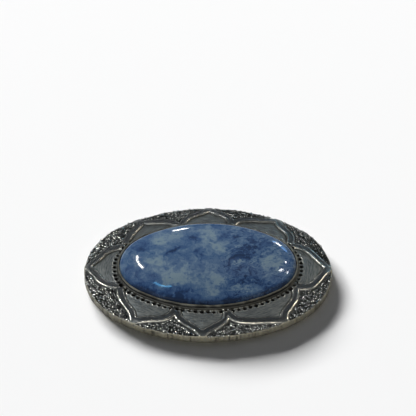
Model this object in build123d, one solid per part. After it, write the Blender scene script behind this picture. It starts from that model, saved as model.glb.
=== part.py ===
from build123d import *
import math
import os

# A pewter brooch with a petal border, set with a glazed pottery cabochon.
# Lengths are in millimetres. X runs along the brooch, Y across it and Z up
# from the surface it lies on. The origin is the middle of the rim's underside.

# The cabochon, which sizes the mount around it
stone_length = 43.0
stone_width = 29.3
end_fullness = 0.785        # radius of the oval's end arcs, as a share of half its width
stone_height = 3.85         # base to the top of the crown
crown_drop = 2.2            # fall of the crown from its middle to the stone's edge
shoulder_radius = 1.9
shoulder_share = 1.3        # the shoulder's largest radius, as a share of the side's height
stone_bed = 0.1             # cement between the base and its seat

# The bezel
bezel_clearance = 0.1       # between the stone's side and the bezel
bezel_wall = 0.3
bezel_height = 1.3          # above the plate at its foot
foot_width = 0.2            # step that runs round the bezel's foot
foot_height = 0.6

# The domed plate and its turned-down rim
border_width = 8.1          # bezel's outer wall to the rim's edge
rim_height = 1.85
plate_rise = 1.05           # rim's top edge to the bezel's foot
sheet = 1.0                 # thickness of the pewter
rim_wall = 1.3
# The doming across the border
dome_sections = [
    # share of the border's width from the rim, share of the rise
    (0.0, 0.0),
    (0.45, 0.58),
    (1.0, 1.0),
]

# The raised petal outlines
ridge_width = 1.9
ridge_height = 0.4
tip_margin = 0.9            # petal's tip to the rim's edge
cusp_margin = 0.45          # bezel's foot to the point where two petals part
petals = [
    # bearing of the tip, bearing of the cusp after it, extra fullness of the
    # flank before the tip and of the flank after it
    (1.0, 21.5, 0.13, 0.0),
    (46.5, 69.5, -0.08, 0.0),
    (89.5, 113.6, 0.0, -0.04),
    (134.0, 160.0, -0.18, -0.3),
    (178.0, 197.0, -0.03, 0.08),
    (225.5, 243.0, -0.16, 0.0),
    (267.0, 286.0, 0.0, 0.0),
    (315.5, 341.5, 0.13, -0.16),
]
flank_sections = [
    # share of the way out to the tip, half-width there as a share of the
    # base's half, share of the extra fullness that it takes
    (0.0, 1.0, 0.0),
    (0.2, 0.97, 0.4),
    (0.42, 0.87, 0.85),
    (0.6, 0.65, 1.0),
    (0.77, 0.34, 0.9),
    (1.0, 0.0, 0.0),
]

# The row of punched dots round the bezel's foot
dot_radius = 0.38
dot_depth = 0.28
dot_spacing = 1.45
dot_margin = 0.42           # bezel's foot to the row's line

# The pin on the back
pin_diameter = 0.8
pin_point = 0.2             # thickness of its blunt point
pin_tip = 2.6               # the pin past the catch's middle
pin_taper = 2.2             # length of its point
pin_lift = 4.5              # pin's line above the brooch's middle
pin_floor = 0.15            # catch and barrel to the surface that the rim lies on
barrel_width = 3.6
catch_width = 2.2
post_width = 0.8
plate_length = 4.6
plate_width = 5.0
plate_thickness = 0.4
plate_inset = 0.8           # flat part of the back left outside the plates' corners
solder_gap = 0.05           # between the pin's plates and the mount

# The parallel ovals share the centres of their four arcs
half_length = stone_length / 2
half_width = stone_width / 2
end_radius = end_fullness * half_width
end_centre = half_length - end_radius
side_radius = (half_width**2 + end_centre**2 - end_radius**2) / (2 * (half_width - end_radius))
side_centre = side_radius - half_width
join_angle = math.atan2(side_centre, end_centre)

# Distances outward from the stone's edge
bezel_inside = bezel_clearance
bezel_outside = bezel_inside + bezel_wall
foot_outside = bezel_outside + foot_width
rim_outside = bezel_outside + border_width
rim_inside = rim_outside - rim_wall

# Heights
seat_z = rim_height + plate_rise
back_z = seat_z - sheet
stone_base_z = seat_z + stone_bed


def oval(grow, z):
    """Face of the oval that runs parallel to the stone's edge, grow outside it."""
    join_x = end_centre + (end_radius + grow) * math.cos(join_angle)
    join_y = (end_radius + grow) * math.sin(join_angle)
    far_x = half_length + grow
    far_y = half_width + grow
    edges = [
        ThreePointArc((join_x, -join_y), (far_x, 0), (join_x, join_y)),
        ThreePointArc((join_x, join_y), (0, far_y), (-join_x, join_y)),
        ThreePointArc((-join_x, join_y), (-far_x, 0), (-join_x, -join_y)),
        ThreePointArc((-join_x, -join_y), (0, -far_y), (join_x, -join_y)),
    ]
    return Pos(0, 0, z) * make_face(edges)


def on_oval(grow, bearing):
    """Point on a parallel oval, seen from the middle at a bearing in degrees."""
    dx = math.cos(math.radians(bearing))
    dy = math.sin(math.radians(bearing))
    radius = end_radius + grow
    reach = end_centre * abs(dx) + math.sqrt(radius**2 - (end_centre * dy) ** 2)
    if math.atan2(reach * abs(dy), reach * abs(dx) - end_centre) > join_angle:
        radius = side_radius + grow
        reach = math.sqrt(radius**2 - (side_centre * dx) ** 2) - side_centre * abs(dy)
    return Vector(reach * dx, reach * dy)


def top_z(grow):
    """Height of the plate's top face, straight between the doming's sections."""
    share = (rim_outside - grow) / border_width
    for (near, low), (far, high) in zip(dome_sections, dome_sections[1:]):
        if share <= far:
            return rim_height + plate_rise * (low + (high - low) * (share - near) / (far - near))
    return seat_z


def domed_plate(lift):
    """The plate from the rim's underside to its top face, raised by lift."""
    sections = [oval(rim_outside, 0)]
    for share, rise in dome_sections:
        sections.append(oval(rim_outside - share * border_width, rim_height + rise * plate_rise + lift))
    return loft(sections, ruled=True)


def back_hollow():
    """The space under the plate, inside the rim, one sheet below the top face."""
    sections = [oval(rim_inside, 0), oval(rim_inside, top_z(rim_inside) - sheet)]
    for share, rise in dome_sections[1:]:
        grow = rim_outside - share * border_width
        sections.append(oval(grow, top_z(grow) - sheet))
    return loft(sections, ruled=True)


def ring(outside, inside, bottom, top):
    return extrude(oval(outside, bottom) - oval(inside, bottom), top - bottom)


def flank_band(base_middle, cusp, tip, fullness):
    """Flat band along one side of a petal, from its cusp to its tip."""
    line = []
    for share, half, fill in flank_sections:
        sideways = (cusp - base_middle) * (half + fullness * fill)
        line.append(base_middle + (tip - base_middle) * share + sideways)
    # The band starts under the bezel's foot
    line.insert(0, cusp * 2 - line[1])
    left = []
    right = []
    for before, here, after in zip([line[0]] + line, line, line[1:] + [line[-1]]):
        along = (after - before).normalized()
        aside = Vector(-along.Y, along.X) * (ridge_width / 2)
        left.append(here + aside)
        right.append(here - aside)
    edges = [Spline(*left), Line(left[-1], right[-1]), Spline(*reversed(right)), Line(right[0], left[0])]
    return make_face(edges)


def petal_bands():
    """Plan of all the raised outlines, from the bezel's foot to the rim's edge."""
    bands = Sketch()
    for number, (tip_bearing, cusp_bearing, full_before, full_after) in enumerate(petals):
        tip = on_oval(rim_outside - tip_margin, tip_bearing)
        cusp_before = on_oval(foot_outside + cusp_margin, petals[number - 1][1])
        cusp_after = on_oval(foot_outside + cusp_margin, cusp_bearing)
        base_middle = (cusp_before + cusp_after) / 2
        bands += flank_band(base_middle, cusp_before, tip, full_before)
        bands += flank_band(base_middle, cusp_after, tip, full_after)
    return bands & (oval(rim_outside, 0) - oval((bezel_outside + foot_outside) / 2, 0))


def row_round(grow, spacing):
    """Points evenly spaced along each arc of a parallel oval."""
    end_span = 2 * join_angle
    side_span = math.pi - end_span
    arcs = [
        # centre's x and y, radius, first bearing, angle that it spans
        (end_centre, 0, end_radius + grow, -join_angle, end_span),
        (0, -side_centre, side_radius + grow, join_angle, side_span),
        (-end_centre, 0, end_radius + grow, math.pi - join_angle, end_span),
        (0, side_centre, side_radius + grow, math.pi + join_angle, side_span),
    ]
    points = []
    for x, y, radius, first, span in arcs:
        count = round(span * radius / spacing)
        for number in range(count):
            bearing = first + span * (number + 0.5) / count
            points.append(Vector(x + radius * math.cos(bearing), y + radius * math.sin(bearing)))
    return points


def punched_dots():
    """Round-nosed punches whose lowest parts are the dots' hollows."""
    nose_radius = (dot_radius**2 + dot_depth**2) / (2 * dot_depth)
    line = foot_outside + dot_margin
    nose_z = top_z(line) - dot_depth + nose_radius
    standing = (Align.CENTER, Align.CENTER, Align.MIN)
    # The shank clears the outlines that some of the dots cut into
    punch = Sphere(nose_radius) + Cylinder(nose_radius, dot_depth + ridge_height, align=standing)
    return [Pos(point.X, point.Y, nose_z) * punch for point in row_round(line, dot_spacing)]


def pewter_mount():
    """Plate, rim, bezel, petal outlines and dots, which are one piece of metal."""
    ridges = extrude(petal_bands(), seat_z + ridge_height) & domed_plate(ridge_height)
    mount = domed_plate(0) + ridges
    mount += ring(foot_outside, bezel_inside, back_z, seat_z + foot_height)
    mount += ring(bezel_outside, bezel_inside, back_z, seat_z + bezel_height)
    mount -= punched_dots()
    return mount - back_hollow()


def pottery_cabochon():
    """Domed oval stone: a barrel-shaped crown, cut to the oval and shouldered."""
    across = (half_width**2 + crown_drop**2) / (2 * crown_drop)
    along = (half_length**2 + crown_drop**2) / (2 * crown_drop)
    # The barrel lies along X, and its lowest line is drawn and turned about its axis
    reach = half_length + shoulder_radius
    axis_z = stone_base_z + stone_height - across
    low_z = axis_z - across
    end_z = low_z + along - math.sqrt(along**2 - reach**2)
    edges = [
        ThreePointArc((-reach, 0, end_z), (0, 0, low_z), (reach, 0, end_z)),
        Line((reach, 0, end_z), (reach, 0, axis_z)),
        Line((reach, 0, axis_z), (-reach, 0, axis_z)),
        Line((-reach, 0, axis_z), (-reach, 0, end_z)),
    ]
    barrel = revolve(make_face(edges), Axis((0, 0, axis_z), (1, 0, 0)), 360)
    stone = extrude(oval(0, stone_base_z), stone_height) & barrel
    crown = stone.faces().sort_by(Axis.Z)[-1]
    largest = shoulder_share * (stone_height - crown_drop)
    return fillet(crown.edges(), min(shoulder_radius, largest))


def rod(radius, x_from, x_to, z):
    """Round rod along X on the pin's line."""
    return Pos((x_from + x_to) / 2, pin_lift, z) * Rot(0, 90, 0) * Cylinder(radius, abs(x_to - x_from))


def brooch_pin():
    """Hinge barrel, pin and catch on their two plates, all one plain piece."""
    standing = (Align.CENTER, Align.CENTER, Align.MIN)
    plate_z = back_z - solder_gap - plate_thickness
    barrel_radius = (plate_z - pin_floor) / 2
    line_z = pin_floor + barrel_radius
    # The plates lie on the flat part of the back, under the stone
    corner_y = pin_lift + plate_width / 2
    flat_x = end_centre + math.sqrt((end_radius + bezel_outside) ** 2 - corner_y**2)
    hinge_x = flat_x - plate_inset - plate_length / 2
    catch_x = -hinge_x
    taper_x = catch_x - pin_tip + pin_taper
    pin = rod(pin_diameter / 2, hinge_x, taper_x, line_z)
    cone = Cone(pin_diameter / 2, pin_point / 2, pin_taper)
    pin += Pos(taper_x - pin_taper / 2, pin_lift, line_z) * Rot(0, -90, 0) * cone
    pin += rod(barrel_radius, catch_x - catch_width / 2, catch_x + catch_width / 2, line_z)
    pin += Pos(hinge_x, pin_lift, line_z) * Rot(90, 0, 0) * Cylinder(barrel_radius, barrel_width)
    for x, length, width in ((hinge_x, post_width, barrel_width), (catch_x, catch_width, post_width)):
        pin += Pos(x, pin_lift, line_z) * Box(length, width, plate_z - line_z, align=standing)
        pin += Pos(x, pin_lift, plate_z) * Box(plate_length, plate_width, plate_thickness, align=standing)
    return pin


os.makedirs("parts", exist_ok=True)
export_step(pewter_mount(), "parts/pewter_mount.step")
export_step(pottery_cabochon(), "parts/pottery_cabochon.step")
export_step(brooch_pin(), "parts/brooch_pin.step")
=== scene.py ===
import math
import bpy
import numpy as np
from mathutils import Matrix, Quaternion, Vector


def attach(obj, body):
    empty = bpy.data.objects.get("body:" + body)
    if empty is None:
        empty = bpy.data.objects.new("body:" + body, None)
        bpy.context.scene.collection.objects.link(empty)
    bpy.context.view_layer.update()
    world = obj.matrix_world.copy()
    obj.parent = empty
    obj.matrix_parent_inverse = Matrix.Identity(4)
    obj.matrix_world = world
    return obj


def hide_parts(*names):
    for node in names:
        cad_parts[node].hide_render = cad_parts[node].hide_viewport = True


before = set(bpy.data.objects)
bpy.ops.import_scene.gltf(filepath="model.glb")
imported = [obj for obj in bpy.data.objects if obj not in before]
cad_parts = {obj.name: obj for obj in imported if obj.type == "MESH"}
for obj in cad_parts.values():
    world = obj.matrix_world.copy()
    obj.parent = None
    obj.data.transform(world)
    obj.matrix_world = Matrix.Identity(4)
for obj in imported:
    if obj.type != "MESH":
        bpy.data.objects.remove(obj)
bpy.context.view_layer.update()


# Camera

# The brooch lies flat and is seen across its long side, from half a metre away and well
# above it. The camera looks a little past the brooch, so it sits low in the picture.

camera_height = 42.63       # degrees above the horizon
camera_distance = 0.5
camera_lift = 1.89          # degrees that the camera looks above the brooch's middle
camera_lens = 178.5         # millimetres

camera_data = bpy.data.cameras.new("camera")
camera_data.lens = camera_lens
camera_data.sensor_width = 36.0
camera = bpy.data.objects.new("camera", camera_data)
camera.location = (
    0.0,
    -camera_distance * math.cos(math.radians(camera_height)),
    camera_distance * math.sin(math.radians(camera_height)),
)
camera.rotation_euler = (math.radians(90.0 - camera_height + camera_lift), 0.0, 0.0)
bpy.context.scene.collection.objects.link(camera)
bpy.context.scene.camera = camera


# Mount

# One casting of pewter, darkened with acid: an oval plate that domes up from a turned-down
# rim to the bezel on its low foot, with eight petals outlined in raised beads and a row of
# punched dots. Its back is hollow. The mesh is in millimetres until it is made.

MM = 0.001

# Driving sizes, as the solids have them. The stone's oval sizes the mount round it.
stone_length = 43.0
stone_width = 29.3
end_fullness = 0.785        # radius of the oval's end arcs, as a share of half its width
bezel_clearance = 0.1       # between the stone's side and the bezel
bezel_wall = 0.3
bezel_height = 1.3          # above the plate at its foot
foot_width = 0.2
foot_height = 0.6
border_width = 8.1          # bezel's outer wall to the rim's edge
rim_height = 1.85
rim_wall = 1.3
plate_rise = 1.05           # rim's top edge to the bezel's foot
plate_thickness = 1.0

# The stone's edge, the bezel and the rim are parallel ovals of four arcs
half_length = stone_length / 2
half_width = stone_width / 2
end_radius = end_fullness * half_width
end_centre = half_length - end_radius
side_radius = (half_width**2 + end_centre**2 - end_radius**2) / (2 * (half_width - end_radius))
side_centre = side_radius - half_width
join_angle = math.atan2(side_centre, end_centre)

# Distances outward from the stone's edge, and heights above the surface
bezel_inside = bezel_clearance
bezel_outside = bezel_inside + bezel_wall
foot_outside = bezel_outside + foot_width
rim_outside = bezel_outside + border_width
rim_inside = rim_outside - rim_wall
seat_z = rim_height + plate_rise
back_z = seat_z - plate_thickness
foot_z = seat_z + foot_height
bezel_z = seat_z + bezel_height
doming = 1.45               # how much of the rise comes near the rim
flat_inside = -3.0          # the seat and the back are flat from here to the middle


def lines_across(spacing, grow):
    """Lines square to the parallel ovals, evenly spaced along the one that is grow outside
    the stone: columns of centre x and y, radius at the stone's edge, direction x and y."""
    end_span = 2 * join_angle
    arcs = [
        (end_centre, 0.0, end_radius, -join_angle, end_span),
        (0.0, -side_centre, side_radius, join_angle, math.pi - end_span),
        (-end_centre, 0.0, end_radius, math.pi - join_angle, end_span),
        (0.0, side_centre, side_radius, math.pi + join_angle, math.pi - end_span),
    ]
    lines = []
    for x, y, radius, first, span in arcs:
        count = round(span * (radius + grow) / spacing)
        for number in range(count):
            bearing = first + span * (number + 0.5) / count
            lines.append((x, y, radius, math.cos(bearing), math.sin(bearing)))
    return np.array(lines)


def along(lines, grow):
    """Plan x and y at a distance outside the stone's edge on each line."""
    reach = lines[:, 2] + grow
    return lines[:, 0] + reach * lines[:, 3], lines[:, 1] + reach * lines[:, 4]


def on_oval(grow, bearing):
    """Point on a parallel oval, seen from the middle at a bearing in degrees."""
    dx = math.cos(math.radians(bearing))
    dy = math.sin(math.radians(bearing))
    radius = end_radius + grow
    reach = end_centre * abs(dx) + math.sqrt(radius**2 - (end_centre * dy) ** 2)
    if math.atan2(reach * abs(dy), reach * abs(dx) - end_centre) > join_angle:
        radius = side_radius + grow
        reach = math.sqrt(radius**2 - (side_centre * dx) ** 2) - side_centre * abs(dy)
    return np.array((reach * dx, reach * dy))


def plate_z(grow):
    """Height of the plate's domed face."""
    share = np.clip((rim_outside - grow) / (rim_outside - bezel_outside), 0.0, 1.0)
    return rim_height + (seat_z - rim_height) * (1.0 - (1.0 - share) ** doming)


def ease(value, low, high):
    """Smooth step from 0 at low to 1 at high."""
    share = np.clip((value - low) / (high - low), 0.0, 1.0)
    return share * share * (3.0 - 2.0 * share)


def closed_skin(name, rings, top, bottom):
    """Mesh object through rings of points, each inside or above the next, closed at both poles."""
    rings = np.array(rings)
    count = rings.shape[1]
    points = np.vstack([rings.reshape(-1, 3), [top, bottom]]) * MM
    here = np.arange(count)
    after = np.roll(here, -1)
    faces = []
    for row in range(len(rings) - 1):
        inner = row * count
        outer = inner + count
        faces += np.column_stack([inner + here, outer + here, outer + after, inner + after]).tolist()
    last = (len(rings) - 1) * count
    pole = len(rings) * count
    faces += np.column_stack([np.full(count, pole), here, after]).tolist()
    faces += np.column_stack([np.full(count, pole + 1), last + after, last + here]).tolist()
    mesh = bpy.data.meshes.new(name)
    mesh.from_pydata(points.tolist(), [], faces)
    mesh.shade_smooth()
    piece = bpy.data.objects.new(name, mesh)
    bpy.context.scene.collection.objects.link(piece)
    return piece


# The beads that outline the petals, with raised edges that were rubbed bright and are painted
# brighter towards the near side, and a crease along their foot
bead_width = 1.9
bead_height = 0.35          # without its raised edges
bead_squareness = 5.0       # 2 is round, more has a flatter top
lip_height = 0.1
lip_place = 0.68            # out from the bead's middle line
lip_breadth = 0.14
crease_depth = 0.08
crease_place = 0.08         # out from the bead's foot
crease_breadth = 0.12
pillow_height = 0.1         # of the petals' fields
pillow_slope = 1.8          # how far in from the beads a field still rises
ground_sinks = 0.1
tip_margin = 0.9            # from a petal's tip to the rim's edge
cusp_margin = 0.45          # from a cusp between two petals to the bezel's foot
petals = [
    # bearing of the tip and of the cusp after it in degrees, extra fullness of the
    # flank before the tip and of the flank after it
    (1.0, 21.5, 0.13, 0.0),
    (46.5, 69.5, -0.08, 0.0),
    (89.5, 113.6, 0.0, -0.04),
    (134.0, 160.0, -0.18, -0.3),
    (178.0, 197.0, -0.03, 0.08),
    (225.5, 243.0, -0.16, 0.0),
    (267.0, 286.0, 0.0, 0.0),
    (315.5, 341.5, 0.13, -0.16),
]
flank_sections = [
    # share of the way out to the tip, half-width there as a share of the
    # base's half, share of the extra fullness that it takes
    (0.0, 1.0, 0.0),
    (0.2, 0.97, 0.4),
    (0.42, 0.87, 0.85),
    (0.6, 0.65, 1.0),
    (0.77, 0.34, 0.9),
    (1.0, 0.0, 0.0),
]


def smooth_line(points, steps):
    """Points along a smooth line through the given ones."""
    points = np.array(points)
    padded = np.vstack([2 * points[0] - points[1], points, 2 * points[-1] - points[-2]])
    step = np.linspace(0.0, 1.0, steps, endpoint=False)[:, None]
    parts = []
    for a, b, c, d in zip(padded, padded[1:], padded[2:], padded[3:]):
        straight = 2 * b + (c - a) * step
        curved = (2 * a - 5 * b + 4 * c - d) * step**2 + (3 * b - a - 3 * c + d) * step**3
        parts.append(0.5 * (straight + curved))
    return np.vstack(parts + [points[-1:]])


def flank(base_middle, cusp, tip, fullness):
    """Middle line of the bead along one side of a petal, from its cusp to its tip."""
    points = []
    for share, half, fill in flank_sections:
        sideways = (cusp - base_middle) * (half + fullness * fill)
        points.append(base_middle + (tip - base_middle) * share + sideways)
    return smooth_line([cusp * 2 - points[1]] + points, 7)


def distance_to(line, x, y):
    """Distance in plan from each point to a line."""
    nearest = np.full(x.shape, np.inf)
    for (ax, ay), (bx, by) in zip(line, line[1:]):
        dx = bx - ax
        dy = by - ay
        share = np.clip(((x - ax) * dx + (y - ay) * dy) / (dx * dx + dy * dy), 0.0, 1.0)
        nearest = np.minimum(nearest, np.hypot(x - ax - share * dx, y - ay - share * dy))
    return nearest


def is_inside(outline, x, y):
    """Whether each point lies inside a closed outline."""
    inside = np.zeros(x.shape, bool)
    for (ax, ay), (bx, by) in zip(outline, np.roll(outline, -1, axis=0)):
        crosses = (ay > y) != (by > y)
        inside ^= crosses & (x < ax + (y - ay) * (bx - ax) / (by - ay + 1e-9))
    return inside


# Unevenness left by the hand-cut pattern and the casting
chance = np.random.default_rng(5)
uneven_length = 62.0        # of the rectangle that it covers
uneven_width = 48.0


def unevenness(x, y, grain):
    """Smooth random heights between -1 and 1, in lumps of about the grain's size."""
    across = int(uneven_length / grain) + 3
    deep = int(uneven_width / grain) + 3
    lattice = chance.uniform(-1.0, 1.0, (deep, across))
    u = (x + uneven_length / 2) / grain
    v = (y + uneven_width / 2) / grain
    column = np.clip(np.floor(u).astype(int), 0, across - 2)
    row = np.clip(np.floor(v).astype(int), 0, deep - 2)
    s = ease(u - column, 0.0, 1.0)
    t = ease(v - row, 0.0, 1.0)
    low = lattice[row, column] * (1 - s) + lattice[row, column + 1] * s
    high = lattice[row + 1, column] * (1 - s) + lattice[row + 1, column + 1] * s
    return low * (1 - t) + high * t


def round_the_rim(count, lumps):
    """Smooth random values between -1 and 1, a given number of lumps round the oval."""
    lattice = chance.uniform(-1.0, 1.0, lumps)
    place = np.arange(count) * lumps / count
    first = np.floor(place).astype(int) % lumps
    share = ease(place - np.floor(place), 0.0, 1.0)
    return lattice[first] * (1 - share) + lattice[(first + 1) % lumps] * share


column_spacing = 0.18       # round the rim's edge
columns = lines_across(column_spacing, rim_outside)
column_count = len(columns)

# The rim's edge is worked a little wavy between the petals' tips, in waves about 3 mm long,
# and its wall is lined across every 0.4 mm or so
wave_depth = 0.09
line_depth = 0.07
tip_spread = 2.4            # square mm round a tip that stay plain
at_tip = np.zeros(column_count)
rim_x, rim_y = along(columns, rim_outside)
for petal in petals:
    tip_x, tip_y = on_oval(rim_outside, petal[0])
    away_squared = (rim_x - tip_x) ** 2 + (rim_y - tip_y) ** 2
    at_tip = np.maximum(at_tip, np.exp(-(away_squared / tip_spread)))
rim_wave = wave_depth * (1.0 + round_the_rim(column_count, 60)) * (1.0 - at_tip)
rim_lines = line_depth * (1.0 + round_the_rim(column_count, 460)) * (1.0 - 0.6 * at_tip)

rings = []
masks = []                  # for each point: crest, lip, matted, recess, edge, distance outward


def add_ring(grow, z, crest=0.0, lip=0.0, matted=0.0, recess=0.0, edge=0.0):
    """Adds a ring of points on a parallel oval, and how much of each finish it shows."""
    x, y = along(columns, grow)
    rings.append(np.column_stack([x, y, np.broadcast_to(z, x.shape)]))
    values = [np.broadcast_to(value, x.shape) for value in (crest, lip, matted, recess, edge, grow)]
    masks.append(np.column_stack(values))


bezel_unevenness = 0.03
lip_drop = 0.03             # from the bezel's true height to its lip's mean top
leaning_height = 0.45       # of the part that was pressed in

# From the seat, up the bezel, over its lip where it was pressed in on the stone, and down its
# outside to the foot
add_ring(flat_inside, seat_z)
add_ring(bezel_inside, seat_z, recess=1.0)
add_ring(bezel_inside, bezel_z - leaning_height, recess=1.0)
bezel_wave = bezel_unevenness * round_the_rim(column_count, 70)
lip_profile = [
    # distance outward, drop from the top, how much crust, how dark it stayed
    (-0.13, 0.14, 0.2, 0.85),
    (-0.15, 0.08, 0.4, 0.7),
    (-0.11, 0.02, 0.5, 0.5),
    (0.0, 0.0, 0.7, 0.35),
    (0.16, 0.0, 0.7, 0.35),
    (0.28, 0.03, 0.5, 0.6),
    (0.36, 0.09, 0.4, 0.8),
    (0.4, 0.2, 0.3, 0.85),
]
bezel_tarnish = 0.1 + 0.25 * round_the_rim(column_count, 110)
for grow, drop, crusted, shade in lip_profile:
    dulled = np.clip(shade + bezel_tarnish, 0.0, 0.95)
    add_ring(grow, bezel_z - lip_drop - drop + bezel_wave, recess=dulled, edge=crusted)
add_ring(bezel_outside, foot_z + 0.1, recess=0.9)
foot_wave = bezel_unevenness * round_the_rim(column_count, 85)
for inward, drop in [(0.18, 0.0), (0.08, 0.01), (0.0, 0.1), (0.0, 0.4)]:
    add_ring(foot_outside - inward, foot_z - drop + foot_wave, recess=0.8, edge=0.3)

# The border between the foot and the rim, as a field of heights. Its rings lie closer where
# the dots are.
border_grow = foot_outside + np.concatenate([np.arange(0.02, 1.0, 0.08), np.arange(1.05, 7.65, 0.12)])
grows = border_grow[:, None] * np.ones(column_count)
border_x = columns[:, 0] + (columns[:, 2] + grows) * columns[:, 3]
border_y = columns[:, 1] + (columns[:, 2] + grows) * columns[:, 4]

to_bead = np.full(grows.shape, np.inf)
in_petal = np.zeros(grows.shape, bool)
for number, (tip_bearing, cusp_bearing, full_before, full_after) in enumerate(petals):
    tip = on_oval(rim_outside - tip_margin, tip_bearing)
    cusp_before = on_oval(foot_outside + cusp_margin, petals[number - 1][1])
    cusp_after = on_oval(foot_outside + cusp_margin, cusp_bearing)
    base_middle = (cusp_before + cusp_after) / 2
    before = flank(base_middle, cusp_before, tip, full_before)
    after = flank(base_middle, cusp_after, tip, full_after)
    spur = np.array([tip, on_oval(rim_outside, tip_bearing)])
    for line in (before, after, spur):
        to_bead = np.minimum(to_bead, distance_to(line, border_x, border_y))
    in_petal |= is_inside(np.vstack([before, after[::-1]]), border_x, border_y)

# The beads wander a little, as they do in a pattern cut by hand
to_bead += 0.12 * unevenness(border_x, border_y, 1.6) + 0.06 * unevenness(border_x, border_y, 0.7)
bead_half = bead_width / 2
across_bead = np.clip(to_bead, 0.0, None) / bead_half
bead_form = np.sqrt(np.clip(1.0 - across_bead**bead_squareness, 0.0, 1.0))
# They flatten out where they run off the rim
bead_form *= 1.0 - 0.75 * ease(grows, rim_outside - 1.6, rim_outside - 0.2)
lips = np.exp(-(((to_bead - lip_place) / lip_breadth) ** 2))
lip_heights = lip_height * lips * (1.0 + 0.5 * unevenness(border_x, border_y, 0.8))
crease = np.exp(-(((to_bead - bead_half - crease_place) / crease_breadth) ** 2))
clear = ease(to_bead - bead_half, 0.0, 0.3)
matted = np.where(in_petal, 0.0, clear)
pillow = pillow_height * ease(to_bead - bead_half, 0.0, pillow_slope)
between_beads = np.where(in_petal, pillow, -ground_sinks * clear)

# The punched dots, with the burr that the punch threw up on their outer side, and one pit
# where the punch went in too far
dot_radius = 0.45
dot_depth = 0.28
dot_margin = 0.42           # from the bezel's foot to the dots' middles
dot_spacing = 1.45
burr_height = 0.1
burr_breadth = 0.09
pit_x = -20.7
pit_y = -6.3
pit_width = 1.6             # times the dots' radius, as the other widths are
dot_lines = lines_across(dot_spacing, foot_outside + dot_margin)
dot_x, dot_y = along(dot_lines, foot_outside + dot_margin)
dot_widths = chance.uniform(0.95, 1.3, len(dot_lines))
pit = int(np.argmin(np.hypot(dot_x - pit_x, dot_y - pit_y)))
dot_widths[pit] = pit_width
dots = np.zeros(grows.shape)
burrs = np.zeros(grows.shape)
near_foot = int(np.searchsorted(border_grow, foot_outside + 1.6))   # rings that a dot can reach
for x, y, out_x, out_y, width in zip(dot_x, dot_y, dot_lines[:, 3], dot_lines[:, 4], dot_widths):
    from_x = border_x[:near_foot] - x - chance.uniform(-0.1, 0.1)
    from_y = border_y[:near_foot] - y - chance.uniform(-0.1, 0.1)
    away = np.hypot(from_x, from_y)
    outward = (from_x * out_x + from_y * out_y) / (away + 1e-6)
    bowl = np.sqrt(np.clip(1.0 - (away / (dot_radius * width)) ** 2, 0.0, 1.0))
    dots[:near_foot] = np.maximum(dots[:near_foot], bowl)
    ridge = np.exp(-(((away - dot_radius * width - 0.1) / burr_breadth) ** 2))
    burrs[:near_foot] = np.maximum(burrs[:near_foot], ridge * ease(outward, -0.2, 0.8))

border_z = plate_z(grows) + bead_height * bead_form + lip_heights - crease_depth * crease
border_z += between_beads
# The ground is rough, the whole border a little slack, and the beads were filed by eye
border_z += 0.08 * matted * unevenness(border_x, border_y, 0.42)
border_z += 0.014 * unevenness(border_x, border_y, 0.9)
border_z += 0.035 * bead_form * unevenness(border_x, border_y, 0.5)
border_z += burr_height * burrs - dot_depth * dots
for row, grow in enumerate(border_grow):
    near_rim = ease(grow, rim_outside - 1.0, rim_outside - 0.2)
    rim_crust = 0.5 * ease(grow, rim_outside - 0.5, rim_outside - 0.2)
    foot_crust = 0.3 * (1.0 - ease(grow, foot_outside, foot_outside + 0.25))
    low_places = np.maximum(crease[row], 0.85 * matted[row])
    add_ring(
        grow - near_rim * rim_wave,
        border_z[row],
        crest=bead_form[row],
        lip=np.maximum(lips[row], burrs[row]),
        matted=matted[row],
        recess=np.maximum(low_places, np.clip(1.6 * dots[row], 0.0, 1.0)),
        edge=rim_crust + foot_crust,
    )

# Round the rim's top corner, down its lined wall, under it and up into the hollow back
rim_top = border_z[-1]
rim_profile = [
    # distance inward, drop from the top
    (0.2, 0.03),
    (0.1, 0.11),
    (0.03, 0.24),
    (0.0, 0.42),
    (0.0, 0.7),
    (0.0, 1.0),
    (0.0, 1.3),
    (0.02, 1.6),
]
for inward, drop in rim_profile:
    lined = ease(drop, 0.0, 0.3)
    add_ring(
        rim_outside - inward - rim_wave - rim_lines * lined,
        rim_top - drop * (rim_top / rim_height),
        recess=0.6 * lined * ease(rim_lines, 0.085, 0.13),
        edge=1.0 - 0.4 * ease(drop, 0.8, 1.7),
    )
add_ring(rim_outside - 0.12 - rim_wave, 0.05, edge=1.0)
add_ring(rim_outside - 0.3 - rim_wave, 0.0, edge=0.8)
add_ring(rim_inside + 0.15, 0.0)
add_ring(rim_inside, 0.12)
first_back_ring = len(rings)
add_ring(rim_inside, plate_z(rim_inside) - plate_thickness - 0.15)
add_ring(rim_inside - 0.12, plate_z(rim_inside) - plate_thickness)
for grow in (5.6, 4.4, 3.0, 1.6, 0.4):
    add_ring(grow, plate_z(grow) - plate_thickness)
add_ring(flat_inside, back_z)

mount = closed_skin("mount", rings, (0.0, 0.0, seat_z), (0.0, 0.0, back_z))
mount_masks = np.vstack([np.vstack(masks), np.zeros((2, 6))])
for column, mask_name in enumerate(("crest", "lip", "matted", "recess", "edge")):
    mask = mount.data.attributes.new(mask_name, "FLOAT", "POINT")
    mask.data.foreach_set("value", np.ascontiguousarray(mount_masks[:, column], dtype=np.float32))
# Distances in mm round the oval and outward, for marks that run round it, but along and
# across on the back, which was rubbed straight
lay = np.zeros((len(mount_masks), 3), dtype=np.float32)
lay[:-2, 0] = np.tile(np.arange(column_count) * column_spacing, len(rings))
lay[:, 1] = mount_masks[:, 5]
back_points = np.vstack(rings[first_back_ring:])
lay[-2 - len(back_points):-2, :2] = back_points[:, :2]
mount.data.attributes.new("lay", "FLOAT_VECTOR", "POINT").data.foreach_set("vector", lay.ravel())


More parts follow.
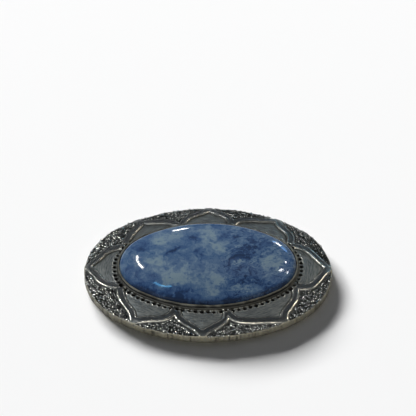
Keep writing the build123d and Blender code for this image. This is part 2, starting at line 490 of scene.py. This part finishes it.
def from_hex(code):
    """Linear colour from an sRGB hex code."""
    parts = [int(code[place:place + 2], 16) / 255.0 for place in (1, 3, 5)]
    linear = [part / 12.92 if part <= 0.04045 else ((part + 0.055) / 1.055) ** 2.4 for part in parts]
    return (*linear, 1.0)


def add_node(tree, kind, settings=(), links=()):
    """Adds a node. Settings name its properties or give its inputs' values, by name or
    number; links give the outputs that its inputs take."""
    node = tree.nodes.new(kind)
    for key, value in dict(settings).items():
        if isinstance(key, str) and hasattr(node, key):
            setattr(node, key, value)
        else:
            node.inputs[key].default_value = value
    for key, output in dict(links).items():
        tree.links.new(output, node.inputs[key])
    return node


def new_material(name):
    """Material whose node tree is still empty."""
    material = bpy.data.materials.new(name)
    material.use_nodes = True
    material.node_tree.nodes.clear()
    return material


# Cast pewter, oxidised and rubbed back: dark satin fields with fine scratches that run round
# the oval, beads painted a little darker for the dark that their tops mirror, between lips that
# wear made bright, black in the creases and between the grains, and a dull olive crust on the
# bezel's lip and the rim's wall. Lips and grains are painted brighter towards the near side,
# and the grains also towards the left: painted sheen where the light falls
pewter = new_material("oxidised_cast_pewter")
tree = pewter.node_tree
place = add_node(tree, "ShaderNodeTexCoord").outputs["Object"]
is_crest, is_lip, is_recess, is_edge, is_grain = [
    add_node(tree, "ShaderNodeAttribute", {"attribute_name": name}).outputs["Fac"]
    for name in ("crest", "lip", "recess", "edge", "grain")
]
lay_place = add_node(tree, "ShaderNodeAttribute", {"attribute_name": "lay"}).outputs["Vector"]
brushed = add_node(
    tree, "ShaderNodeMapping", {"vector_type": "TEXTURE", "Scale": (2.5, 0.2, 1.0)},
    {"Vector": lay_place},
).outputs[0]

# Tarnish in clouds 3 mm wide, a cast skin with grain 0.35 mm wide, wear in spots 0.4 mm wide,
# and brushed scratches 0.2 mm wide and 2.5 mm long
tarnish, skin, wear, scratches = [
    add_node(
        tree, "ShaderNodeTexNoise", {"Scale": scale, "Detail": detail, "Distortion": distortion},
        {"Vector": source},
    ).outputs["Fac"]
    for source, scale, detail, distortion in [
        (place, 330.0, 4.0, 0.0),
        (place, 2900.0, 2.0, 0.0),
        (place, 2300.0, 1.0, 0.0),
        (brushed, 1.0, 3.0, 0.4),
    ]
]
# Painted sheen: the lips are painted brighter towards the near side, and the grains towards
# the near side and the left, where the light falls
nearness = add_node(tree, "ShaderNodeSeparateXYZ", {}, {0: place}).outputs["Y"]
askew = add_node(
    tree, "ShaderNodeMapping", {"Rotation": (0.0, 0.0, math.radians(32.0))}, {"Vector": place},
)
near_left = add_node(tree, "ShaderNodeSeparateXYZ", {}, {0: askew.outputs[0]}).outputs["Y"]
(
    light_scratches, dark_scratches, lip_wear, lip_tarnish, edge_wear, grain_wear,
    painted_sheen_on_lips, painted_sheen_on_grains, satin,
) = [
    add_node(
        tree, "ShaderNodeMapRange", {"From Min": low, "From Max": high, "To Min": least, "To Max": most},
        {"Value": source},
    ).outputs[0]
    for source, low, high, least, most in [
        # what each is worked out from, its range there, and what it becomes
        (scratches, 0.42, 0.6, 0.0, 0.45),
        (scratches, 0.5, 0.36, 0.0, 0.5),
        (wear, 0.4, 0.56, 0.2, 1.0),
        (tarnish, 0.4, 0.54, 0.3, 1.0),
        (skin, 0.38, 0.6, 0.25, 1.0),
        (wear, 0.44, 0.56, 0.0, 1.0),
        # painted sheen, brighter towards the near side and towards the near left
        (nearness, 16.0 * MM, -8.0 * MM, 0.42, 1.0),
        (near_left, 16.0 * MM, -9.0 * MM, 0.36, 1.0),
        (tarnish, 0.3, 0.7, 0.42, 0.55),
    ]
]
# The second and the last carry painted sheen towards the near side
lip_sheen, lips_with_painted_sheen, crust, worn_grains_and_painted_sheen = [
    add_node(tree, "ShaderNodeMath", {"operation": "MULTIPLY"}, {0: mask, 1: amount}).outputs[0]
    for mask, amount in [
        (lip_tarnish, lip_wear),
        (is_lip, painted_sheen_on_lips),
        (is_edge, edge_wear),
        (grain_wear, painted_sheen_on_grains),
    ]
]
worn_lips_and_painted_sheen = add_node(
    tree, "ShaderNodeMath", {"operation": "MULTIPLY"}, {0: lips_with_painted_sheen, 1: lip_sheen},
).outputs[0]

pewter_colour = add_node(
    tree, "ShaderNodeMix", {"data_type": "RGBA", 6: from_hex("#656b6f"), 7: from_hex("#515759")},
    {0: tarnish},
).outputs[2]
# Each coat covers the ones before it where its mask is strong
for mask, code in [
    (light_scratches, "#8b8f8d"),
    (dark_scratches, "#3a3c3c"),
    # painted reflection: the beads' tops are painted darker for the dark that they mirror
    (is_crest, "#4d5052"),
    # lips rubbed bright, with painted sheen towards the near side
    (worn_lips_and_painted_sheen, "#deded6"),
    (crust, "#7e7c6c"),
    (is_recess, "#0e0e0e"),
]:
    pewter_colour = add_node(
        tree, "ShaderNodeMix", {"data_type": "RGBA", 7: from_hex(code)}, {0: mask, 6: pewter_colour},
    ).outputs[2]
# Grains dark or rubbed bright at random, with painted sheen towards the near side and the left
grain_colour = add_node(
    tree, "ShaderNodeMix", {"data_type": "RGBA", 6: from_hex("#2c2e2e"), 7: from_hex("#e2e4e1")},
    {0: worn_grains_and_painted_sheen},
).outputs[2]
pewter_colour = add_node(
    tree, "ShaderNodeMix", {"data_type": "RGBA"}, {0: is_grain, 6: pewter_colour, 7: grain_colour},
).outputs[2]

roughness = satin
for mask, value in [(is_crest, 0.3), (is_lip, 0.19), (is_edge, 0.6), (is_grain, 0.18)]:
    roughness = add_node(
        tree, "ShaderNodeMix", {"data_type": "FLOAT", 3: value}, {0: mask, 2: roughness},
    ).outputs[0]
metallic = add_node(
    tree, "ShaderNodeMix", {"data_type": "FLOAT", 2: 1.0, 3: 0.35}, {0: crust},
).outputs[0]
relief = add_node(
    tree, "ShaderNodeMath", {"operation": "MULTIPLY_ADD", 1: 0.5}, {0: scratches, 2: skin},
).outputs[0]
bump = add_node(tree, "ShaderNodeBump", {"Strength": 0.8, "Distance": 0.08 * MM}, {"Height": relief})
shader = add_node(
    tree, "ShaderNodeBsdfPrincipled", {},
    {
        "Base Color": pewter_colour,
        "Metallic": metallic,
        "Roughness": roughness,
        "Normal": bump.outputs[0],
    },
)
add_node(tree, "ShaderNodeOutputMaterial", {}, {"Surface": shader.outputs[0]})

mount.data.materials.append(pewter)
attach(mount, "root")
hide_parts("pewter_mount")


# Matting

# The ground outside the petals, matted by hand with a small round-ended punch until it is
# covered in grains. They stand up from the plate and are cast with it.

matting = bpy.data.node_groups.new("matting", "GeometryNodeTree")
matting.interface.new_socket("Geometry", in_out="INPUT", socket_type="NodeSocketGeometry")
matting_inputs = []
for name, kind, value in [
    ("Grain width", "NodeSocketFloat", 0.47 * MM),
    ("Grain height", "NodeSocketFloat", 0.48 * MM),
    ("Spacing", "NodeSocketFloat", 0.41 * MM),
    ("Grains per square metre", "NodeSocketFloat", 15.0e6),
    ("Smallest", "NodeSocketFloat", 0.7),
    ("Largest", "NodeSocketFloat", 1.4),
    ("Seed", "NodeSocketInt", 3),
    ("Metal", "NodeSocketMaterial", pewter),
]:
    socket = matting.interface.new_socket(name, in_out="INPUT", socket_type=kind)
    matting_inputs.append((socket.identifier, value))
matting.interface.new_socket("Geometry", in_out="OUTPUT", socket_type="NodeSocketGeometry")

given = add_node(matting, "NodeGroupInput").outputs
ground_mask = add_node(
    matting, "GeometryNodeInputNamedAttribute", {"data_type": "FLOAT", "Name": "matted"},
)
open_ground = add_node(
    matting, "ShaderNodeMapRange", {"From Min": 0.4, "From Max": 0.7},
    {"Value": ground_mask.outputs["Attribute"]},
)
spread = add_node(
    matting, "GeometryNodeDistributePointsOnFaces", {"distribute_method": "POISSON"},
    {
        "Mesh": given["Geometry"],
        "Distance Min": given["Spacing"],
        "Density Max": given["Grains per square metre"],
        "Density Factor": open_ground.outputs[0],
        "Seed": given["Seed"],
    },
)
grain_ball = add_node(matting, "GeometryNodeMeshUVSphere", {"Segments": 7, "Rings": 4, "Radius": 0.5})
grain_size = add_node(
    matting, "ShaderNodeCombineXYZ", {},
    {"X": given["Grain width"], "Y": given["Grain width"], "Z": given["Grain height"]},
)
grain_form = add_node(
    matting, "GeometryNodeTransform", {},
    {"Geometry": grain_ball.outputs["Mesh"], "Scale": grain_size.outputs[0]},
)
turn = add_node(
    matting, "FunctionNodeRandomValue", {"data_type": "FLOAT", 3: math.tau}, {"Seed": given["Seed"]},
)
turn_vector = add_node(matting, "ShaderNodeCombineXYZ", {}, {"Z": turn.outputs[1]})
facing = add_node(
    matting, "FunctionNodeRotateRotation", {"rotation_space": "LOCAL"},
    {"Rotation": spread.outputs["Rotation"], "Rotate By": turn_vector.outputs[0]},
)
stretch = [
    add_node(
        matting, "FunctionNodeRandomValue", {"data_type": "FLOAT", "Seed": seed},
        {2: given["Smallest"], 3: given["Largest"]},
    ).outputs[1]
    for seed in (1, 2, 3)
]
stretches = add_node(matting, "ShaderNodeCombineXYZ", {}, dict(zip("XYZ", stretch)))
grains = add_node(
    matting, "GeometryNodeInstanceOnPoints", {},
    {
        "Points": spread.outputs["Points"],
        "Instance": grain_form.outputs["Geometry"],
        "Rotation": facing.outputs[0],
        "Scale": stretches.outputs[0],
    },
)
loose = add_node(matting, "GeometryNodeRealizeInstances", {}, {"Geometry": grains.outputs[0]})
smooth = add_node(matting, "GeometryNodeSetShadeSmooth", {}, {"Geometry": loose.outputs[0]})
marked = add_node(
    matting, "GeometryNodeStoreNamedAttribute",
    {"data_type": "FLOAT", "domain": "POINT", "Name": "grain", "Value": 1.0},
    {"Geometry": smooth.outputs[0]},
)
finished = add_node(
    matting, "GeometryNodeSetMaterial", {}, {"Geometry": marked.outputs[0], "Material": given["Metal"]},
)
add_node(matting, "NodeGroupOutput", {}, {"Geometry": finished.outputs[0]})

ground_matting = bpy.data.objects.new("ground_matting", mount.data.copy())
bpy.context.scene.collection.objects.link(ground_matting)
modifier = ground_matting.modifiers.new("matting", "NODES")
modifier.node_group = matting
for identifier, value in matting_inputs:
    modifier[identifier] = value
bpy.context.view_layer.update()
evaluated = ground_matting.evaluated_get(bpy.context.evaluated_depsgraph_get())
grain_mesh = bpy.data.meshes.new_from_object(evaluated)
ground_matting.modifiers.remove(modifier)
ground_matting.data = grain_mesh
grain_mesh.name = "ground_matting"
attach(ground_matting, "root")


# Cabochon

# The pottery stone: a low oval dome of fired clay under a thick glossy glaze that ran and
# clouded in the kiln, blue over grey. It is cemented on the seat and held by the bezel.

stone_bed = 0.1             # cement between the base and its seat
stone_height = 3.85
stone_base = seat_z + stone_bed
stone_top = stone_base + stone_height
base_bevel = 0.1            # where the edge meets the flat base
crown_drop = 2.2            # how far the crown would fall by the stone's edge
shoulder = 1.9              # radius of the rounded edge
crown_across = (half_width**2 + crown_drop**2) / (2 * crown_drop)
crown_along = (half_length**2 + crown_drop**2) / (2 * crown_drop)


def crown_z(x, y):
    """Height of the barrel-shaped crown."""
    fall = crown_along - np.sqrt(crown_along**2 - x**2)
    return stone_top - crown_across + np.sqrt((crown_across - fall) ** 2 - y**2)


def glaze_wave(x, y):
    """How far the glaze lies under the true crown, from 0 to about 0.04 mm."""
    return 0.01 * (2.0 + np.sin(0.55 * x + 0.5 * y + 1.0) + np.sin(0.75 * y - 0.4 * x))


stone_lines = lines_across(0.35, 0.0)
stone_rings = []
stone_insets = []           # distance inside the stone's edge, in mm
middle_inset = 14.0
closing_inset = 6.0         # inside this oval the rings shrink to the middle


def add_stone_ring(x, y, z, distance_inside):
    """Adds a ring of points, and their distance inside the stone's edge."""
    stone_rings.append(np.column_stack([x, y, np.broadcast_to(z, x.shape)]))
    stone_insets.extend(np.broadcast_to(distance_inside, x.shape))


closing_x, closing_y = along(stone_lines, -closing_inset)
for share in np.linspace(0.0, 1.0, 26)[1:]:
    x = closing_x * share
    y = closing_y * share
    inset = middle_inset - (middle_inset - closing_inset) * share
    add_stone_ring(x, y, crown_z(x, y) - glaze_wave(x, y), inset)
# A ball rolled round under the crown gives the shoulder. It touches the crown where their
# slopes are the same.
small_step = 0.01
ball_x, ball_y = along(stone_lines, -shoulder)
step_x, step_y = along(stone_lines, -shoulder + small_step)
slope = (crown_z(step_x, step_y) - crown_z(ball_x, ball_y)) / small_step
ball_z = crown_z(ball_x, ball_y) - shoulder * np.sqrt(1.0 + slope**2)
first_turn = np.arctan(-slope)
contact = -shoulder + shoulder * np.sin(first_turn)
for share in np.linspace(0.0, 1.0, 19)[1:-1]:
    reach = -closing_inset + share * (contact + closing_inset)
    x, y = along(stone_lines, reach)
    add_stone_ring(x, y, crown_z(x, y) - glaze_wave(x, y), -reach)
for share in np.linspace(0.0, 1.0, 26):
    turned = first_turn + share * (math.pi / 2 - first_turn)
    reach = -shoulder + shoulder * np.sin(turned)
    x, y = along(stone_lines, reach)
    z = ball_z + shoulder * np.cos(turned) - glaze_wave(x, y) * (1.0 - share)
    add_stone_ring(x, y, np.maximum(z, stone_base + base_bevel), -reach)
x, y = along(stone_lines, -0.5 * base_bevel)
add_stone_ring(x, y, stone_base, 0.0)
stone_insets += [middle_inset, middle_inset]
stone_peak = (0.0, 0.0, float(crown_z(0.0, 0.0) - glaze_wave(0.0, 0.0)))
cabochon = closed_skin("cabochon", stone_rings, stone_peak, (0.0, 0.0, stone_base))
inset_mask = cabochon.data.attributes.new("inset", "FLOAT", "POINT")
inset_mask.data.foreach_set("value", np.array(stone_insets, dtype=np.float32))

# Glazed stoneware: a deep clear gloss, with the colour lying as soft clouds and streaks inside
# it, and painted shade along the near shoulder. Depth runs from grey cloud at 0 to navy at 1.
glaze = new_material("glazed_stoneware")
tree = glaze.node_tree
place = add_node(tree, "ShaderNodeTexCoord").outputs["Object"]
plan = add_node(
    tree, "ShaderNodeVectorMath", {"operation": "MULTIPLY", 1: (1.0 / MM, 1.0 / MM, 0.0)}, {0: place},
)

# Swirls about 4 mm, 1 mm and 0.4 mm wide push the clouds' edges about
swirls = plan.outputs[0]
for size, push in ((4.0, 2.2), (1.1, 0.9), (0.4, 0.16)):
    noise = add_node(
        tree, "ShaderNodeTexNoise", {"Scale": 1.0 / size, "Detail": 2.0}, {"Vector": plan.outputs[0]},
    )
    centred = add_node(
        tree, "ShaderNodeVectorMath", {"operation": "SUBTRACT", 1: (0.5, 0.5, 0.5)},
        {0: noise.outputs["Color"]},
    )
    pushed = add_node(
        tree, "ShaderNodeVectorMath", {"operation": "SCALE", "Scale": 2.0 * push},
        {0: centred.outputs[0]},
    )
    swirls = add_node(
        tree, "ShaderNodeVectorMath", {"operation": "ADD"}, {0: swirls, 1: pushed.outputs[0]},
    ).outputs[0]

# The mottle is in blotches about 2 mm wide
mottle = add_node(
    tree, "ShaderNodeTexNoise", {"Scale": 0.45, "Detail": 6.0, "Roughness": 0.55}, {"Vector": swirls},
)
depth = add_node(
    tree, "ShaderNodeMapRange", {"From Min": 0.3, "From Max": 0.7, "To Min": 0.2, "To Max": 0.75},
    {"Value": mottle.outputs["Fac"]},
).outputs[0]

clouds = [
    # middle x and y, half-length, half-width, turn in degrees, how much deeper or paler
    (-10.5, 7.5, 6.0, 4.0, 10, -0.4),
    (-12.5, -1.5, 4.5, 4.0, 0, -0.4),
    (-7.0, -6.5, 6.5, 5.5, 0, -0.55),
    (-11.5, 3.5, 4.0, 3.5, 0, -0.2),
    (0.0, 7.5, 3.2, 6.5, 0, -0.45),
    (3.2, 3.5, 3.6, 4.5, 0, -0.4),
    (1.5, -9.0, 4.5, 6.0, 0, -0.4),
    (14.5, -1.5, 4.5, 5.0, 0, -0.35),
    (-15.5, 4.5, 5.0, 4.5, 30, 0.3),
    (-18.0, -4.0, 3.5, 5.0, 0, 0.2),
    (-13.0, -7.0, 4.5, 3.0, -20, 0.2),
    (-14.0, -9.2, 5.5, 2.2, -28, 0.3),
    (-6.5, -12.0, 7.0, 2.8, -10, 0.42),
    (6.0, -12.6, 6.0, 2.2, 6, 0.4),
    (15.0, -8.6, 5.5, 2.2, 28, 0.15),
    (-8.0, 2.3, 3.6, 3.0, 20, 0.45),
    (-4.2, 6.5, 2.6, 3.0, 60, 0.4),
    (-2.0, 0.5, 1.6, 3.4, 0, 0.3),
    (5.5, 8.0, 6.0, 3.0, 30, 0.4),
    (8.5, 3.0, 5.5, 4.5, 30, 0.3),
    (7.0, -1.2, 6.0, 1.8, 35, 0.4),
    (8.8, -6.5, 5.0, 3.6, 25, 0.35),
    (12.5, 5.5, 5.0, 5.0, 0, 0.25),
    (12.5, -7.5, 4.0, 2.2, 20, 0.2),
    (10.5, -11.5, 5.5, 2.6, 18, -0.25),
]
for x, y, half_long, half_wide, turn_by, strength in clouds:
    # Its middle goes to the origin and its edges to a distance of 1
    settled = add_node(
        tree, "ShaderNodeMapping",
        {
            "vector_type": "TEXTURE",
            "Location": (x, y, 0.0),
            "Rotation": (0.0, 0.0, math.radians(turn_by)),
            "Scale": (half_long, half_wide, 1.0),
        },
        {"Vector": swirls},
    )
    patch = add_node(
        tree, "ShaderNodeTexGradient", {"gradient_type": "SPHERICAL"}, {"Vector": settled.outputs[0]},
    )
    amount = add_node(
        tree, "ShaderNodeMapRange",
        {"interpolation_type": "SMOOTHSTEP", "From Max": 0.75, "To Max": strength},
        {"Value": patch.outputs["Fac"]},
    )
    depth = add_node(
        tree, "ShaderNodeMath", {"operation": "ADD"}, {0: depth, 1: amount.outputs[0]},
    ).outputs[0]

# Streaks that the glaze pulled as it ran: up to the right on one side, fine upright needles
# on the other. Each is a noise drawn out along its run, in mm.
flat_place = add_node(tree, "ShaderNodeSeparateXYZ", {}, {0: plan.outputs[0]})
for turn_by, length, width, x_none, x_full, strength in [
    # turn in degrees, then mm: length, width, and where the streaks start and are full
    (38.0, 4.5, 0.4, 2.0, 7.0, 0.6),
    (96.0, 3.0, 0.4, 0.0, -5.0, 0.2),
]:
    pulled = add_node(
        tree, "ShaderNodeMapping",
        {
            "vector_type": "TEXTURE",
            "Rotation": (0.0, 0.0, math.radians(turn_by)),
            "Scale": (length, width, 1.0),
        },
        {"Vector": swirls},
    )
    drawn = add_node(
        tree, "ShaderNodeTexNoise", {"Scale": 1.0, "Detail": 2.0}, {"Vector": pulled.outputs[0]},
    )
    streaks = add_node(
        tree, "ShaderNodeMapRange", {"From Min": 0.3, "From Max": 0.7, "To Min": -0.5, "To Max": 0.5},
        {"Value": drawn.outputs["Fac"]},
    )
    side = add_node(
        tree, "ShaderNodeMapRange", {"From Min": x_none, "From Max": x_full, "To Max": strength},
        {"Value": flat_place.outputs["X"]},
    )
    depth = add_node(
        tree, "ShaderNodeMath", {"operation": "MULTIPLY_ADD"},
        {0: streaks.outputs[0], 1: side.outputs[0], 2: depth},
    ).outputs[0]

# Thin dark veins on the right, along the winding lines where a noise crosses its middle value
crackle = add_node(
    tree, "ShaderNodeTexNoise", {"Scale": 0.45, "Detail": 1.5, "Distortion": 0.6}, {"Vector": swirls},
)
past_middle = add_node(
    tree, "ShaderNodeMath", {"operation": "SUBTRACT", 1: 0.5}, {0: crackle.outputs["Fac"]},
)
off_vein = add_node(tree, "ShaderNodeMath", {"operation": "ABSOLUTE"}, {0: past_middle.outputs[0]})
veins = add_node(
    tree, "ShaderNodeMapRange",
    {"interpolation_type": "SMOOTHSTEP", "From Max": 0.03, "To Min": 0.34, "To Max": 0.0},
    {"Value": off_vein.outputs[0]},
)
veined_side = add_node(
    tree, "ShaderNodeMapRange", {"From Min": -6.0, "From Max": 5.0, "To Min": 0.3, "To Max": 1.0},
    {"Value": flat_place.outputs["X"]},
)
depth = add_node(
    tree, "ShaderNodeMath", {"operation": "MULTIPLY_ADD"},
    {0: veins.outputs[0], 1: veined_side.outputs[0], 2: depth},
).outputs[0]

# Painted shade: a ragged darker band along the near shoulder, which faces away from the light
from_edge = add_node(tree, "ShaderNodeAttribute", {"attribute_name": "inset"}).outputs["Fac"]
ragged = add_node(
    tree, "ShaderNodeMath", {"operation": "MULTIPLY_ADD", 1: 4.0},
    {0: mottle.outputs["Fac"], 2: from_edge},
)
painted_shoulder_shade = add_node(
    tree, "ShaderNodeMapRange",
    {"interpolation_type": "SMOOTHSTEP", "From Min": 3.8, "From Max": 2.0, "To Max": 0.4},
    {"Value": ragged.outputs[0]},
)
near_side = add_node(
    tree, "ShaderNodeMapRange",
    {"interpolation_type": "SMOOTHSTEP", "From Min": -4.0, "From Max": -9.0},
    {"Value": flat_place.outputs["Y"]},
)
depth = add_node(
    tree, "ShaderNodeMath", {"operation": "MULTIPLY_ADD"},
    {0: painted_shoulder_shade.outputs[0], 1: near_side.outputs[0], 2: depth},
).outputs[0]

ramp = add_node(tree, "ShaderNodeValToRGB", {}, {"Fac": depth})
stops = [
    (0.0, "#6f8491"),
    (0.25, "#60778d"),
    (0.45, "#486382"),
    (0.65, "#37547a"),
    (0.85, "#234069"),
    (1.0, "#132c4e"),
]
ramp.color_ramp.elements[0].color = from_hex(stops[0][1])
ramp.color_ramp.elements[1].color = from_hex(stops[-1][1])
for position, code in stops[1:-1]:
    ramp.color_ramp.elements.new(position).color = from_hex(code)

shader = add_node(
    tree, "ShaderNodeBsdfPrincipled", {"Roughness": 0.045, "IOR": 1.5},
    {"Base Color": ramp.outputs["Color"]},
)
add_node(tree, "ShaderNodeOutputMaterial", {}, {"Surface": shader.outputs[0]})

cabochon.data.materials.append(glaze)
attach(cabochon, "root")
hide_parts("pottery_cabochon")


# Brooch pin

# The pin, its hinge barrel and its catch, bought ready made of plated steel on two small
# plates that are soldered to the back. The CAD solids show as they are.

# Nickel plate on steel: a warm pale metal, gone dull in patches about 2 mm wide
pin_steel = new_material("nickel_plated_steel")
tree = pin_steel.node_tree
place = add_node(tree, "ShaderNodeTexCoord").outputs["Object"]
dulling = add_node(tree, "ShaderNodeTexNoise", {"Scale": 600.0, "Detail": 3.0}, {"Vector": place})
plating = add_node(
    tree, "ShaderNodeMix", {"data_type": "RGBA", 6: from_hex("#c9c5bb"), 7: from_hex("#a39d90")},
    {0: dulling.outputs["Fac"]},
)
dullness = add_node(
    tree, "ShaderNodeMapRange", {"From Min": 0.3, "From Max": 0.7, "To Min": 0.2, "To Max": 0.38},
    {"Value": dulling.outputs["Fac"]},
)
# Lines left along the wire when it was drawn, 0.1 mm apart
along_wire = add_node(
    tree, "ShaderNodeMapping", {"vector_type": "TEXTURE", "Scale": (4.0 * MM, 0.1 * MM, 0.1 * MM)},
    {"Vector": place},
)
drawn = add_node(
    tree, "ShaderNodeTexNoise", {"Scale": 1.0, "Detail": 1.0}, {"Vector": along_wire.outputs[0]},
)
bump = add_node(
    tree, "ShaderNodeBump", {"Strength": 0.4, "Distance": 0.02 * MM}, {"Height": drawn.outputs["Fac"]},
)
shader = add_node(
    tree, "ShaderNodeBsdfPrincipled", {"Metallic": 1.0},
    {"Base Color": plating.outputs[2], "Roughness": dullness.outputs[0], "Normal": bump.outputs[0]},
)
add_node(tree, "ShaderNodeOutputMaterial", {}, {"Surface": shader.outputs[0]})
for material_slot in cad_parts["brooch_pin"].material_slots:
    material_slot.material = pin_steel


# Floor and light

# A matt white card, lit low from behind on the left, so that the shadow falls long and soft.
# Black flags keep that light off the brooch, which has a higher window of its own, a pale tent
# round it, and reflectors and thin strips for the metal and the glaze to mirror.

floor_half = 3.0
floor_z = -0.01 * MM        # just under the brooch
floor_mesh = bpy.data.meshes.new("white_card")
corners = [(-1, -1), (1, -1), (1, 1), (-1, 1)]
floor_points = [(x * floor_half, y * floor_half, floor_z) for x, y in corners]
floor_mesh.from_pydata(floor_points, [], [(0, 1, 2, 3)])
floor = bpy.data.objects.new("white_card", floor_mesh)
bpy.context.scene.collection.objects.link(floor)
# Uncoated white card, which is even and has no gloss
card = new_material("matt_white_card")
tree = card.node_tree
shader = add_node(
    tree, "ShaderNodeBsdfPrincipled", {"Base Color": from_hex("#eeeeee"), "Roughness": 0.9},
)
add_node(tree, "ShaderNodeOutputMaterial", {}, {"Surface": shader.outputs[0]})
floor_mesh.materials.append(card)


def add_light(name, bearing, height, size, radiance, colour, roll=0.0, distance=1.0):
    """Rectangular light that faces the brooch. Its bearing is from straight behind the
    brooch, positive to the right, and its height is above the horizon, both in degrees. The
    sizes are in metres."""
    data = bpy.data.lights.new(name, "AREA")
    data.shape = "RECTANGLE"
    data.size, data.size_y = size
    data.energy = radiance * math.pi * size[0] * size[1]
    data.color = from_hex(colour)[:3]
    light = bpy.data.objects.new(name, data)
    level = math.cos(math.radians(height))
    away = Vector((
        level * math.sin(math.radians(bearing)),
        level * math.cos(math.radians(bearing)),
        math.sin(math.radians(height)),
    ))
    light.location = away * distance
    light.rotation_mode = "QUATERNION"
    leaning = Quaternion((0.0, 0.0, 1.0), math.radians(roll))
    light.rotation_quaternion = away.to_track_quat("Z", "Y") @ leaning
    light.visible_camera = False
    bpy.context.scene.collection.objects.link(light)
    return light


def flagged(light, shaded):
    """Keeps a light off some pieces, as a photographer's black flags do."""
    flags = bpy.data.collections.new(light.name + "_flags")
    for piece in shaded:
        flags.objects.link(piece)
    for held in flags.collection_objects:
        held.light_linking.link_state = "EXCLUDE"
    light.light_linking.receiver_collection = flags


# The windows and the studio's pale walls, which are too soft to be mirrored
low_window = add_light("low_window", -26.5, 14.5, (6.6, 1.3), 228.0, "#ffffff", distance=12.0)
low_window.visible_glossy = False
flagged(low_window, [mount, ground_matting, cabochon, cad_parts["brooch_pin"]])
high_window = add_light("high_window", -35.0, 42.0, (0.5, 0.4), 16.2, "#ffffff")
high_window.visible_glossy = False
flagged(high_window, [floor])
back_wall = add_light("back_wall", 20.0, 48.0, (1.2, 0.9), 0.33, "#ffffff")
back_wall.visible_glossy = False
front_wall = add_light("front_wall", 165.0, 30.0, (1.0, 0.5), 1.0, "#ffffff")
front_wall.visible_glossy = False
flagged(front_wall, [floor])
# A warm card for the rim's wall and the near faces of the beads
front_card = add_light("front_card", 180.0, 25.0, (1.0, 0.5), 5.5, "#fff4e4")
flagged(front_card, [floor, cabochon, ground_matting])
# The tent, which only the brooch mirrors
for name, bearing, height, size, radiance, colour in [
    ("tent_top", 0.0, 90.0, (2.4, 2.4), 0.18, "#f4f6f8"),
    ("tent_back", 0.0, 36.0, (2.4, 1.0), 0.24, "#f0f6fa"),
    ("tent_front", 180.0, 30.0, (2.4, 1.2), 0.15, "#f6f6f4"),
    ("tent_left", -90.0, 30.0, (2.4, 1.2), 0.22, "#f2f6fa"),
    ("tent_right", 90.0, 30.0, (2.4, 1.2), 0.22, "#eaf2f8"),
]:
    tent = add_light(name, bearing, height, size, radiance, colour, distance=1.2)
    tent.visible_diffuse = False
    flagged(tent, [floor])
# Bright cards that the metal's edges and grains catch
for name, bearing, height, size, radiance, colour in [
    ("left_reflector", -76.0, 42.0, (0.24, 0.18), 90.0, "#fffcf6"),
    ("near_reflector", -150.0, 38.0, (0.3, 0.2), 11.5, "#f6fbff"),
    ("right_back_reflector", 22.0, 6.0, (0.35, 0.14), 9.0, "#b4e8ff"),
    ("back_reflector", -10.0, 8.0, (0.9, 0.12), 1.5, "#eef4ff"),
]:
    reflector = add_light(name, bearing, height, size, radiance, colour, distance=1.2)
    reflector.visible_diffuse = False
    flagged(reflector, [floor, cabochon])
# The warm one on the right is for the edges alone, as it would dazzle in the grains
right_reflector = add_light("right_reflector", 72.0, 34.0, (0.22, 0.18), 56.0, "#fff0d8", distance=1.2)
right_reflector.visible_diffuse = False
flagged(right_reflector, [floor, cabochon, ground_matting])
# Thin strips and small lamps that the glaze mirrors as its highlights
for name, bearing, height, size, roll, radiance, colour in [
    ("left_strip_low", -18.9, 36.8, (0.003, 0.055), -29.0, 55.0, "#fffaf0"),
    ("left_strip_middle", -20.7, 40.2, (0.004, 0.079), -14.0, 55.0, "#fffaf0"),
    ("left_strip_high", -22.1, 45.2, (0.006, 0.092), -9.0, 55.0, "#fffaf0"),
    ("sky_strip_low", -26.7, 59.8, (0.008, 0.061), 0.0, 8.0, "#61c1ff"),
    ("sky_strip_middle", -26.3, 63.0, (0.014, 0.046), 14.0, 9.0, "#61c1ff"),
    ("sky_strip_high", -23.8, 64.5, (0.018, 0.031), 71.0, 8.0, "#61c1ff"),
    ("back_strip_left", -5.5, 16.3, (0.018, 0.019), -65.0, 32.0, "#ffffff"),
    ("back_strip_right", -4.3, 15.7, (0.013, 0.029), -55.0, 32.0, "#ffffff"),
    ("right_strip_tip", 13.3, 22.9, (0.005, 0.033), 34.0, 12.0, "#8fc4ff"),
    ("right_strip_low", 15.0, 25.2, (0.004, 0.059), 33.0, 40.0, "#ffffff"),
    ("right_strip_high", 17.2, 28.3, (0.005, 0.066), 32.0, 9.0, "#7fb8ff"),
    ("right_lamp_low", 22.1, 39.8, (0.006, 0.035), 27.0, 36.0, "#ffffff"),
    ("right_lamp_left", 25.2, 47.6, (0.007, 0.031), 10.0, 32.0, "#ffffff"),
    ("right_lamp_right", 27.8, 47.3, (0.012, 0.034), 12.0, 36.0, "#ffffff"),
]:
    add_light(name, bearing, height, size, radiance, colour, roll=roll)

world = bpy.data.worlds.new("studio")
world.use_nodes = True
world.node_tree.nodes["Background"].inputs["Color"].default_value = from_hex("#f4f6f8")
world.node_tree.nodes["Background"].inputs["Strength"].default_value = 0.015
bpy.context.scene.world = world
# Plain tones, with no film curve
bpy.context.scene.view_settings.view_transform = "Standard"
